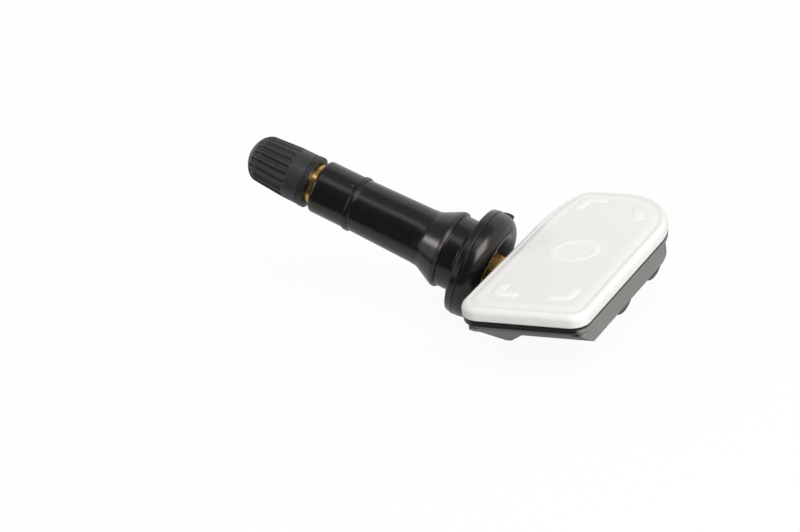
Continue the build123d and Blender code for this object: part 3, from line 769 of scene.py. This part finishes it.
class SENSOR_OT_rubber(bpy.types.Operator):
    """Turn the rubber body: neck, ridge, tapered barrel, flare, rim groove and flanged base"""

    bl_idname = "sensor.rubber"
    bl_label = "Rubber body"

    def execute(self, context):
        s = context.scene.sensor_rubber
        stem = context.scene.sensor_stem
        groove_low = s.groove_top - s.groove_width
        ridge_end = s.ridge_place + s.ridge_width
        dish = RUBBER_BASE + s.dish_depth
        collar_top = stem.collar_place + stem.collar_width / 2
        collar_low = stem.collar_place - stem.collar_width / 2
        line = rounded([
            (stem.shank_radius, RUBBER_NECK),
            (s.neck_radius, RUBBER_NECK, s.neck_round),
            (s.neck_radius, ridge_end, s.ridge_round),
            (s.ridge_radius, ridge_end, s.ridge_round),
            (s.ridge_radius, s.ridge_place, s.ridge_round),
            (s.barrel_end, s.ridge_place, s.ridge_round),
            (s.barrel_start, s.barrel_place, s.barrel_round),
            (s.flare_radius, s.flare_place, s.flare_round),
            (s.shoulder_radius, s.groove_top + s.shoulder_width, s.shoulder_round),
            *mould_line(s, s.groove_top + 2 * s.line_gap),
            *mould_line(s, s.groove_top + s.line_gap),
            (s.shoulder_radius, s.groove_top, s.groove_round / 2),
            (s.groove_radius, s.groove_top, s.groove_round / 2),
            (s.groove_radius, groove_low, s.groove_round),
            (s.lip_foot_radius, s.lip_foot_place, s.lip_round),
            (s.lip_radius, s.lip_place, s.lip_round),
            (FLANGE_RADIUS, s.flange_place, s.seam_width / 4),
            (FLANGE_RADIUS - s.seam_depth, s.flange_place - s.seam_width / 2),
            (FLANGE_RADIUS - s.seam_depth / 3, s.flange_place - s.seam_width, s.seam_width / 4),
            (s.back_radius, RUBBER_BASE, s.back_round),
            (s.crown_radius, RUBBER_BASE, s.crown_round),
            (s.dish_radius, dish, s.dish_depth / 4),
            (stem.tail_radius, dish),
            (stem.tail_radius, collar_low),
            (COLLAR_RADIUS, collar_low),
            (COLLAR_RADIUS, collar_top),
            (stem.shank_radius, collar_top),
        ])
        line = dense(line, RUBBER_STEP)
        body = grid(on_valve(line[:, :1], line[:, 1:], full_turn(RUBBER_COLUMNS)), closed_rows=True)
        grids = [body, flap(s), pip(s)]
        piece("rubber_body", grids, "sensor", "valve_rubber", finish("rubber", rubber_paint))
        return {"FINISHED"}


def cap_profile(s, band, bore):
    """The cap's line from its tip to its bore's end: a crown arc and a corner arc that meet without a
    kink, the tapered wall, the groove and band at the rim, and the bore."""
    foot = CAP_TIP - s.dome_height
    corner = s.dome_radius - s.dome_round
    crown = (corner**2 + s.dome_height**2 - s.dome_round**2) / (2 * (s.dome_height - s.dome_round))
    meet = math.atan2(crown - s.dome_height, corner)
    crown_arc = arc(0, CAP_TIP - crown, crown, TURN / 4, meet, DOME_POINTS)
    corner_arc = arc(corner, foot, s.dome_round, meet, 0, DOME_POINTS)
    wall = rounded([
        (s.dome_radius, foot),
        (s.radius, foot - s.taper_length, 4 * s.dome_round),
        (s.radius, band + 2 * s.neck_depth, s.rim_round / 2),
        (s.radius - s.neck_depth, band + s.neck_depth, s.rim_round / 2),
        (CAP_RIM_RADIUS, band, s.rim_round / 2),
        (CAP_RIM_RADIUS, CAP_RIM, s.rim_round),
        (bore, CAP_RIM, s.rim_round),
        (bore, s.bore_end),
        (0, s.bore_end),
    ])
    return np.vstack([crown_arc[:-1], corner_arc, wall[1:]])


class SENSOR_OT_cap(bpy.types.Operator):
    """Turn the cap's dome, taper, rim band and threaded bore, and press its flutes in"""

    bl_idname = "sensor.cap"
    bl_label = "Valve cap"

    def execute(self, context):
        s = context.scene.sensor_cap
        stem = context.scene.sensor_stem
        band = CAP_RIM + s.rim_height
        bore = stem.thread_radius + stem.thread_fit
        line = dense(cap_profile(s, band, bore), CAP_STEP)

        # Outward is the line's own direction, turned by a quarter.
        outward = np.gradient(line, axis=0)
        outward = np.column_stack([-outward[:, 1], outward[:, 0]])
        outward /= np.linalg.norm(outward, axis=1)[:, None]
        turn = full_turn(CAP_COLUMNS)
        radius, place = line[:, :1], line[:, 1:]
        band_row = np.argmin(np.abs(line - (CAP_RIM_RADIUS, band)).sum(1))
        outside = (np.arange(len(line)) < band_row)[:, None]

        # A flute is a dip round a line along the wall, which rolls in over its edge by a smooth step.
        pitch = TURN / s.flute_count
        across = ((turn + pitch / 2) % pitch - pitch / 2) * radius
        middle = CAP_TIP - s.flute_start - s.flute_length / 2
        past_end = np.maximum(np.abs(place - middle) - (s.flute_length - s.flute_width) / 2, 0)
        share = np.clip((s.flute_width / 2 - np.hypot(across, past_end)) / s.flute_edge, 0, 1)
        dip = s.flute_depth * share**2 * (3 - 2 * share) * outside

        # The bore's thread fades over one pitch at both ends.
        in_bore = (~outside) & (np.abs(radius - bore) < s.rim_round / 4)
        thread = stem.thread_depth * (1 - thread_wave(place, turn, stem.thread_pitch)) * in_bore
        fade = np.clip((place - CAP_RIM - s.rim_round) / stem.thread_pitch, 0, 1)
        fade = fade * np.clip((s.bore_end - stem.thread_pitch - place) / stem.thread_pitch, 0, 1)
        points = on_valve(radius - dip * outward[:, :1] - thread * fade, place - dip * outward[:, 1:], turn)
        material = finish("cap", cap_paint)
        piece("cap_shell", [grid(points)], "cap", "valve_cap", material, crease=CAP_CREASE)
        return {"FINISHED"}


class SENSOR_OT_stem(bpy.types.Operator):
    """Turn the brass stem with its thread, bore, tail flats, air port and screw hole"""

    bl_idname = "sensor.stem"
    bl_label = "Brass stem"

    def execute(self, context):
        s = context.scene.sensor_stem
        run_out = RUBBER_NECK
        collar_top = s.collar_place + s.collar_width / 2
        collar_low = s.collar_place - s.collar_width / 2
        seat = STEM_MOUTH - s.bore_depth
        ring_top = RUBBER_BASE + context.scene.sensor_rubber.dish_depth
        ring_low = ring_top - s.ring_width
        hexagon_low = ring_low - s.hexagon_length
        corner = s.hexagon / math.sqrt(3)
        bore = [
            (0, seat - s.bore_radius),
            (s.seat_radius, seat - s.bore_radius),
            (s.seat_radius, seat - s.seat_radius / 2),
            (s.bore_radius, seat),
            (s.bore_radius, STEM_MOUTH),
            (s.thread_radius - s.mouth_chamfer, STEM_MOUTH),
        ]
        thread = [(s.thread_radius, STEM_MOUTH - s.mouth_chamfer), (s.thread_radius, run_out)]
        tail = rounded([
            (s.shank_radius, run_out),
            (s.shank_radius, collar_top),
            (COLLAR_RADIUS, collar_top),
            (COLLAR_RADIUS, collar_low),
            (s.tail_radius, collar_low),
            (s.tail_radius, ring_top),
            (s.ring_radius, ring_top, s.ring_width / 5),
            (s.ring_radius, ring_low, s.ring_width / 5),
            (corner, ring_low),
            (corner, hexagon_low),
            (s.tail_radius, hexagon_low),
            (s.tail_radius, STEM_TAIL),
            (s.screw_radius, STEM_TAIL),
            (s.screw_radius, STEM_TAIL + s.screw_depth),
            (0, STEM_TAIL + s.screw_depth),
        ])
        line = np.vstack([dense(bore, STEM_STEP), dense(thread, THREAD_STEP), dense(tail, STEM_STEP)])
        radius, place = line[:, :1], line[:, 1:]
        turn = full_turn(STEM_COLUMNS)
        on_thread = (radius > s.bore_radius + s.thread_depth) & (place > run_out)
        fade = np.clip((place - CAP_RIM) / s.thread_pitch, 0, 1)
        cut = s.thread_depth * (1 - thread_wave(place, turn, s.thread_pitch)) * fade * on_thread
        turned = radius - cut

        # A flat lies at its distance from the axis over the cosine of the angle from its middle.
        edge = s.ring_width / 100
        on_hexagon = (place < ring_low + edge) & (place > hexagon_low - edge)
        on_hexagon = on_hexagon & (radius > s.tail_radius - edge) & (radius < corner + edge)
        side = (turn - TURN / 4 + TURN / 12) % (TURN / 6) - TURN / 12
        turned = np.where(on_hexagon, np.minimum(turned, s.hexagon / 2 / np.cos(side)), turned)
        on_flats = (place < STEM_TAIL + s.flat_length) & (radius > s.screw_radius + s.port_radius)
        flat = s.flats / 2 / np.maximum(np.abs(np.sin(turn)), s.flats / 2 / s.tail_radius / 2)
        turned = np.where(on_flats, np.minimum(turned, flat), turned)

        # The port is a pit down to the air way, within its radius of the points on both sides.
        from_port = np.hypot(turned * np.cos(turn), place - s.port_place)
        pit = np.clip((s.port_radius - from_port) / (s.port_radius / 5), 0, 1) * on_hexagon
        turned = turned - pit * (turned - s.screw_radius)
        points = on_valve(turned, place, turn)
        piece("stem_brass", [grid(points)], "sensor", "valve_stem", finish("brass", brass_paint))
        return {"FINISHED"}


def spring_coil(s, length):
    """A round wire carried along a right-hand helix: its section turns in the plane of the axis, and
    shrinks to a point at both ends."""
    rows, columns = COIL_GRID
    along = np.linspace(0, 1, rows * s.turns)
    along = np.concatenate([along[:1], along, along[-1:]])[:, None]
    wire = np.full(along.shape, s.wire)
    wire[[0, -1]] = 0
    section = full_turn(columns)
    radius = SPRING_RADIUS - s.wire + wire * np.cos(section)
    margin = s.wire + s.slack
    place = SPRING_LOW + margin + along * (length - 2 * margin) + wire * np.sin(section)
    return grid(on_valve(radius, place, TURN * s.turns * along))


class SENSOR_OT_spring(bpy.types.Operator):
    """Wind the coil spring of the valve core"""

    bl_idname = "sensor.spring"
    bl_label = "Core spring"

    def execute(self, context):
        length = SPRING_HIGH - SPRING_LOW
        coil = spring_coil(context.scene.sensor_spring, length)
        material = finish("coil_steel", plain_paint(*SPRING_STEEL))
        spring = piece("coil_spring", [coil], "sensor", "core_spring", material)
        keep = 1 - JOINTS["pin_press"]["range_m"][1] / length
        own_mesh(spring)
        return {"FINISHED"}


def lid_outline(s, inset):
    """Points round the lid's plan drawn in by an inset: a quarter oval at each corner, joined straight.
    The near corners lose less of their round than the inset, so inner lines turn them gently."""
    left, near = LID_LOW[:2] + inset
    right, far = LID_HIGH[:2] - inset
    near_left = s.near_left - CORNER_LOSS * inset
    near_right = s.near_right - CORNER_LOSS * inset
    quarters = [
        (left, near, 1, 1, near_left, near_left, TURN / 2),
        (right, near, -1, 1, near_right, near_right, TURN * 3 / 4),
        (right, far, -1, -1, s.far_right_x - inset, s.far_right_y - inset, 0),
        (left, far, 1, -1, s.far_left_x - inset, s.far_left_y - inset, TURN / 4),
    ]
    turn = np.linspace(0, TURN / 4, CORNER_POINTS)
    line = []
    for x, y, to_x, to_y, half_x, half_y, start in quarters:
        across = x + to_x * half_x + half_x * np.cos(start + turn)
        line.append(np.column_stack([across, y + to_y * half_y + half_y * np.sin(start + turn)]))
    return np.vstack(line)


def hump(distance, half_width):
    """A smooth hump: 1 at no distance, falling as a bell curve of the half width."""
    return np.exp(-((distance / half_width) ** 2))


def bead(path, half_width, height, level):
    """A low bead along a flat path, and its shades: across it, a blunted parabola over a sunk base, which
    shrinks to nothing at both ends."""
    ahead = np.gradient(path, axis=0)
    ahead /= np.linalg.norm(ahead, axis=1)[:, None]
    square = np.column_stack([-ahead[:, 1], ahead[:, 0]])
    along = lengths(path)
    to_end = np.minimum(along, along[-1] - along)
    swell = np.sqrt(1 - np.clip(1 - to_end / half_width, 0, 1) ** 2)[:, None]
    share = np.linspace(-1, 1, BEAD_COLUMNS)
    blunted = np.tanh(BEAD_BLUNT * (1 - share**2)) / math.tanh(BEAD_BLUNT)
    rise = np.concatenate([(1 + BEAD_SUNK) * blunted - BEAD_SUNK, [-BEAD_BASE, -BEAD_BASE]])
    share = np.concatenate([share, [BEAD_BASE_EDGE, -BEAD_BASE_EDGE]])
    plan = path[:, None] + (swell * half_width * share)[..., None] * square[:, None]
    points = np.dstack([plan, level + height * swell * rise])
    return grid(points), np.clip(swell * (rise + BEAD_SUNK), 0, 1)


def lid_skin(s, level, middle):
    """The lid's skin as rings of its plan, each with an inset, a height and a shade: out from the
    inside, up the wall, round the rolled edge, and through the groove and the crest to the field."""
    roll = np.linspace(0, TURN / 4, ROLL_POINTS)
    top = np.arange(s.roll, s.field_inset, s.border_width / 4)[1:]
    inset = np.concatenate([s.foot_round * (1 - np.sin(roll)), s.roll * (1 - np.cos(roll)), top])
    height = np.concatenate([
        LID_LOW[2] + s.foot_round * (1 - np.cos(roll)),
        level - s.roll + s.roll * np.sin(roll),
        np.full(len(top), level),
    ])
    groove = hump(inset - s.border_inset, s.border_width)
    crest = hump(inset - s.crest_inset, s.crest_width)
    height = height - s.border_depth * groove + s.crest_height * crest
    skin = [(lid_outline(s, drawn_in), lifted) for drawn_in, lifted in zip(inset, height)]
    field = skin[-1][0]
    flat = [(middle + (field - middle) * share, level) for share in FIELD_RINGS]
    skirt = lid_outline(s, s.skirt)
    ceiling = level - s.wall
    inside = [(middle + (skirt - middle) * share, ceiling) for share in CEILING_RINGS]
    inside.append((skirt, LID_LOW[2]))
    # The border groove is darkened as painted shade.
    shade = np.concatenate([
        np.full(len(inside), FIELD_SHADE),
        FIELD_SHADE - GROOVE_PAINTED_SHADE * groove + CREST_SHADE * crest,
        np.full(len(flat), FIELD_SHADE),
    ])
    return grid(stacked(inside + skin + flat)), np.repeat(shade, len(skirt))


def lid_disc(s, level, middle):
    """The low disc in the lid's middle: a bell-shaped ring near its edge and a dot at its centre."""
    rows, columns = DISC_GRID
    radius = np.linspace(0, s.disc_radius, rows)
    ring = hump(radius - s.ring_radius, s.ring_width)
    edge = np.clip((s.disc_radius - radius) / s.ring_width, 0, 1)
    gate = hump(radius, s.gate_radius)
    rise = s.mark_height * (RING_RISE * ring + GATE_RISE * gate + DISC_RISE * edge - DISC_SUNK)
    shade = FIELD_SHADE + DISC_SHADE * edge + RING_SHADE * ring
    radius = np.concatenate([radius, radius[-1:], [0]])[:, None]
    height = level + np.concatenate([rise, [-s.mark_height, -s.mark_height]])[:, None]
    turn = full_turn(columns)
    x = middle[0] + radius * np.cos(turn)
    y = radius * np.sin(turn)
    shade = np.concatenate([shade, [FIELD_SHADE, FIELD_SHADE]])
    return grid(np.dstack([x, y, np.broadcast_to(height, x.shape)])), np.repeat(shade, columns)


def mark_paths(s, middle_x):
    """The corner marks' lines: right angles at three corners, and a slanting bar at the round one."""
    paths = []
    for side, end_y, end in ((1, s.mark_near, -1), (-1, s.mark_near, -1), (-1, s.mark_far, 1)):
        x = middle_x + side * s.mark_x
        across, along = (x - side * s.mark_arm, end_y), (x, end_y - end * s.mark_arm)
        paths.append([across, (x, end_y, s.mark_width / 2), along])
    corner = np.array([middle_x + s.mark_x, s.mark_far])
    return paths + [[corner - s.mark_arm * np.array(end) for end in (BAR_START, BAR_END)]]


class SENSOR_OT_lid(bpy.types.Operator):
    """Shape the lid: rolled edge, soft border groove and crest, corner marks and the centre ring"""

    bl_idname = "sensor.lid"
    bl_label = "Lid"

    def execute(self, context):
        s = context.scene.sensor_lid
        level = LID_HIGH[2] - s.mark_height
        middle = (LID_LOW[:2] + LID_HIGH[:2]) / 2
        skin, skin_shades = lid_skin(s, level, middle)
        disc, disc_shades = lid_disc(s, level, middle)
        grids, shades = [skin, disc], [skin_shades, disc_shades]
        for corners in mark_paths(s, middle[0]):
            path = dense(rounded(corners), s.mark_width / 10)
            mark, lift = bead(path, s.mark_width / 2, s.mark_height, level)
            grids.append(mark)
            shades.append(FIELD_SHADE + (MARK_SHADE - FIELD_SHADE) * lift)
        shades = np.concatenate([values.ravel() for values in shades])
        piece("lid_shell", grids, "sensor", "housing_lid", finish("lid", lid_paint), shades)
        return {"FINISHED"}


def lid_band(s):
    """A mesh of the band under the lid: an upright face and a drafted one, carried round its plan."""
    rings = [(lid_outline(s, inset * MM), LID_LOW[2] - drop * MM) for inset, drop in BAND_SECTION]
    corners, faces = grid(stacked(rings), closed_rows=True)
    return new_mesh("band", corners, faces.tolist())


class SENSOR_OT_tray(bpy.types.Operator):
    """Soften the edges of the moulded housing base and add the band under the lid"""

    bl_idname = "sensor.tray"
    bl_label = "Housing base"

    def execute(self, context):
        mesh = frame["nodes"]["housing_base"].data.copy()
        work = bmesh.new()
        work.from_mesh(mesh)
        work.from_mesh(lid_band(context.scene.sensor_lid))
        work.to_mesh(mesh)
        work.free()
        wear(mesh, finish("housing", housing_paint))
        tidy_mesh(mesh, TRAY_MERGE, TRAY_CREASE)
        tray = linked("housing_tray", mesh)
        edge = tray.modifiers.new("edge", "BEVEL")
        edge.width = 0.16 * MM
        edge.segments = 3
        edge.limit_method = "ANGLE"
        edge.angle_limit = math.radians(32)
        edge.harden_normals = True
        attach(tray, "sensor")
        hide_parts("housing_base")
        return {"FINISHED"}


class SENSOR_OT_inner(bpy.types.Operator):
    """Give the core, the screw and the electronics their finishes"""

    bl_idname = "sensor.inner"
    bl_label = "Inner pieces"

    def execute(self, context):
        worn = [(nodes, finish(name, plain_paint(*look))) for name, (nodes, *look) in INNER_FINISHES.items()]
        worn.append((CORE_BRASS, finish("core_brass", brass_paint)))
        for nodes, material in worn:
            for node in nodes:
                wear(frame["nodes"][node].data, material)
        return {"FINISHED"}


def glow(start, level):
    """A white light of that strength."""
    return start.node("ShaderNodeEmission", {}, {"Color": WHITE, "Strength": level})


def seen(start, mirrored):
    """1 for rays from the eye, the mirrored share for rays from mirrors and glass, 0 for the rest."""
    rays = ("Is Camera Ray", "Is Glossy Ray", "Is Transmission Ray")
    eye, mirror, glass = (start.node("ShaderNodeLightPath", {}, {}, ray) for ray in rays)
    return start.math("MINIMUM", eye + mirrored * (mirror + glass), 1.0)


def white_world(scene, level):
    """A white world for the eye and for reflections, and a softer one for the light it sheds."""
    scene.world = bpy.data.worlds.new("surround")
    start = bare_tree(scene.world)
    level = level + (1 - level) * seen(start, 1.0)
    light = start.node("ShaderNodeBackground", {}, {"Color": WHITE, "Strength": level})
    start.node("ShaderNodeOutputWorld", {}, {"Surface": light})


def oblong(name, half_width, half_height, place, turn, shader):
    """A flat oblong of the stage at a place, turned, with the shader that a function makes."""
    corners = [(x * half_width, y * half_height, 0) for x, y in ((-1, -1), (1, -1), (1, 1), (-1, 1))]
    corners = [Vector(place) + turn @ Vector(corner) for corner in corners]
    mesh = new_mesh(name, corners, [(0, 1, 2, 3)])
    material = bpy.data.materials.new(name)
    start = bare_tree(material)
    start.node("ShaderNodeOutputMaterial", {}, {"Surface": shader(start)})
    wear(mesh, material)
    made = linked(name, mesh)
    return made


def white_floor():
    """A wide white floor under the lowest point, which keeps a faint shadow."""

    def shader(start):
        tone = seen(start, 0.0).blend(rgba(FLOOR_TONE), rgba(FLOOR_SEEN_TONE))
        matt = start.node("ShaderNodeBsdfDiffuse", {}, {"Color": tone})
        share = FLOOR_GLOW * seen(start, FLOOR_MIRRORED)
        return start.node("ShaderNodeMixShader", {}, {0: share, 1: matt, 2: glow(start, 1.0)})

    level = (0, 0, cad_box[0].z)
    oblong("floor", FLOOR_HALF, FLOOR_HALF, level, Matrix.Identity(3), shader)


def dim_card(name, place, aim, half_width, half_height, level, lights):
    """A dim card at a place that faces an aim, never seen straight: glossy black reflects it."""
    turn = (Vector(aim) - Vector(place)).to_track_quat("Z", "Y")
    card = oblong(name, half_width, half_height, place, turn, lambda start: glow(start, level))
    card.visible_camera = False
    card.visible_diffuse = lights
    card.visible_shadow = lights


def softbox(name, place, width, height, watts):
    """An oblong soft light at a place, facing the sensor."""
    light = bpy.data.lights.new(name, "AREA")
    light.shape = "RECTANGLE"
    light.size = width
    light.size_y = height
    light.energy = watts
    lamp = linked(name, light)
    lamp.location = place
    lamp.rotation_euler = (-Vector(place)).to_track_quat("-Z", "Y").to_euler()


class SENSOR_OT_stage(bpy.types.Operator):
    """Set up the white studio: floor, surround, dim cards, softboxes and the camera"""

    bl_idname = "sensor.stage"
    bl_label = "Studio"

    def execute(self, context):
        scene = context.scene
        s = scene.sensor_stage
        scene.view_settings.view_transform = "Standard"
        white_world(scene, s.surround)
        white_floor()
        for name, card in CARDS.items():
            dim_card(name, *card)
        for name, box in SOFTBOXES.items():
            softbox(name, *box, getattr(s, name))

        camera = bpy.data.cameras.new("camera")
        camera.lens = s.camera_lens
        camera.clip_start = 0.01
        view = linked("camera", camera)
        scene.camera = view
        ahead = Vector(s.camera_aim) - Vector(s.camera_place)
        turn = ahead.to_track_quat("-Z", "Y").to_matrix() @ Matrix.Rotation(s.camera_roll, 3, "Z")
        view.matrix_world = Matrix.Translation(Vector(s.camera_place)) @ turn.to_4x4()
        return {"FINISHED"}


class SENSOR_PT_pieces(bpy.types.Panel):
    """The sensor's pieces and studio"""

    bl_idname = "SENSOR_PT_pieces"
    bl_label = "Tyre pressure sensor"
    bl_space_type = "VIEW_3D"
    bl_region_type = "UI"
    bl_category = "Sensor"

    def draw(self, context):
        for operator in OPERATORS:
            self.layout.operator(operator.bl_idname)


OPERATORS = (
    SENSOR_OT_rubber,
    SENSOR_OT_cap,
    SENSOR_OT_stem,
    SENSOR_OT_spring,
    SENSOR_OT_lid,
    SENSOR_OT_tray,
    SENSOR_OT_inner,
    SENSOR_OT_stage,
)
GROUPS = {
    "sensor_rubber": SensorRubberSizes,
    "sensor_cap": SensorCapSizes,
    "sensor_stem": SensorStemSizes,
    "sensor_spring": SensorSpringSizes,
    "sensor_lid": SensorLidSizes,
    "sensor_colours": SensorColours,
    "sensor_stage": SensorStageSettings,
}


def register():
    """Makes the settings, operators and panel known to Blender."""
    for name, group in GROUPS.items():
        bpy.utils.register_class(group)
        setattr(bpy.types.Scene, name, bpy.props.PointerProperty(type=group))
    for kind in (*OPERATORS, SENSOR_PT_pieces):
        bpy.utils.register_class(kind)


def unregister():
    """Takes the panel, operators and settings away again."""
    for kind in reversed((*OPERATORS, SENSOR_PT_pieces)):
        bpy.utils.unregister_class(kind)
    for name, group in reversed(GROUPS.items()):
        delattr(bpy.types.Scene, name)
        bpy.utils.unregister_class(group)


def main():
    """Builds every piece and the studio."""
    register()
    bpy.ops.sensor.rubber()
    bpy.ops.sensor.cap()
    bpy.ops.sensor.stem()
    bpy.ops.sensor.spring()
    bpy.ops.sensor.lid()
    bpy.ops.sensor.tray()
    bpy.ops.sensor.inner()
    bpy.ops.sensor.stage()


if __name__ == "__main__":
    main()
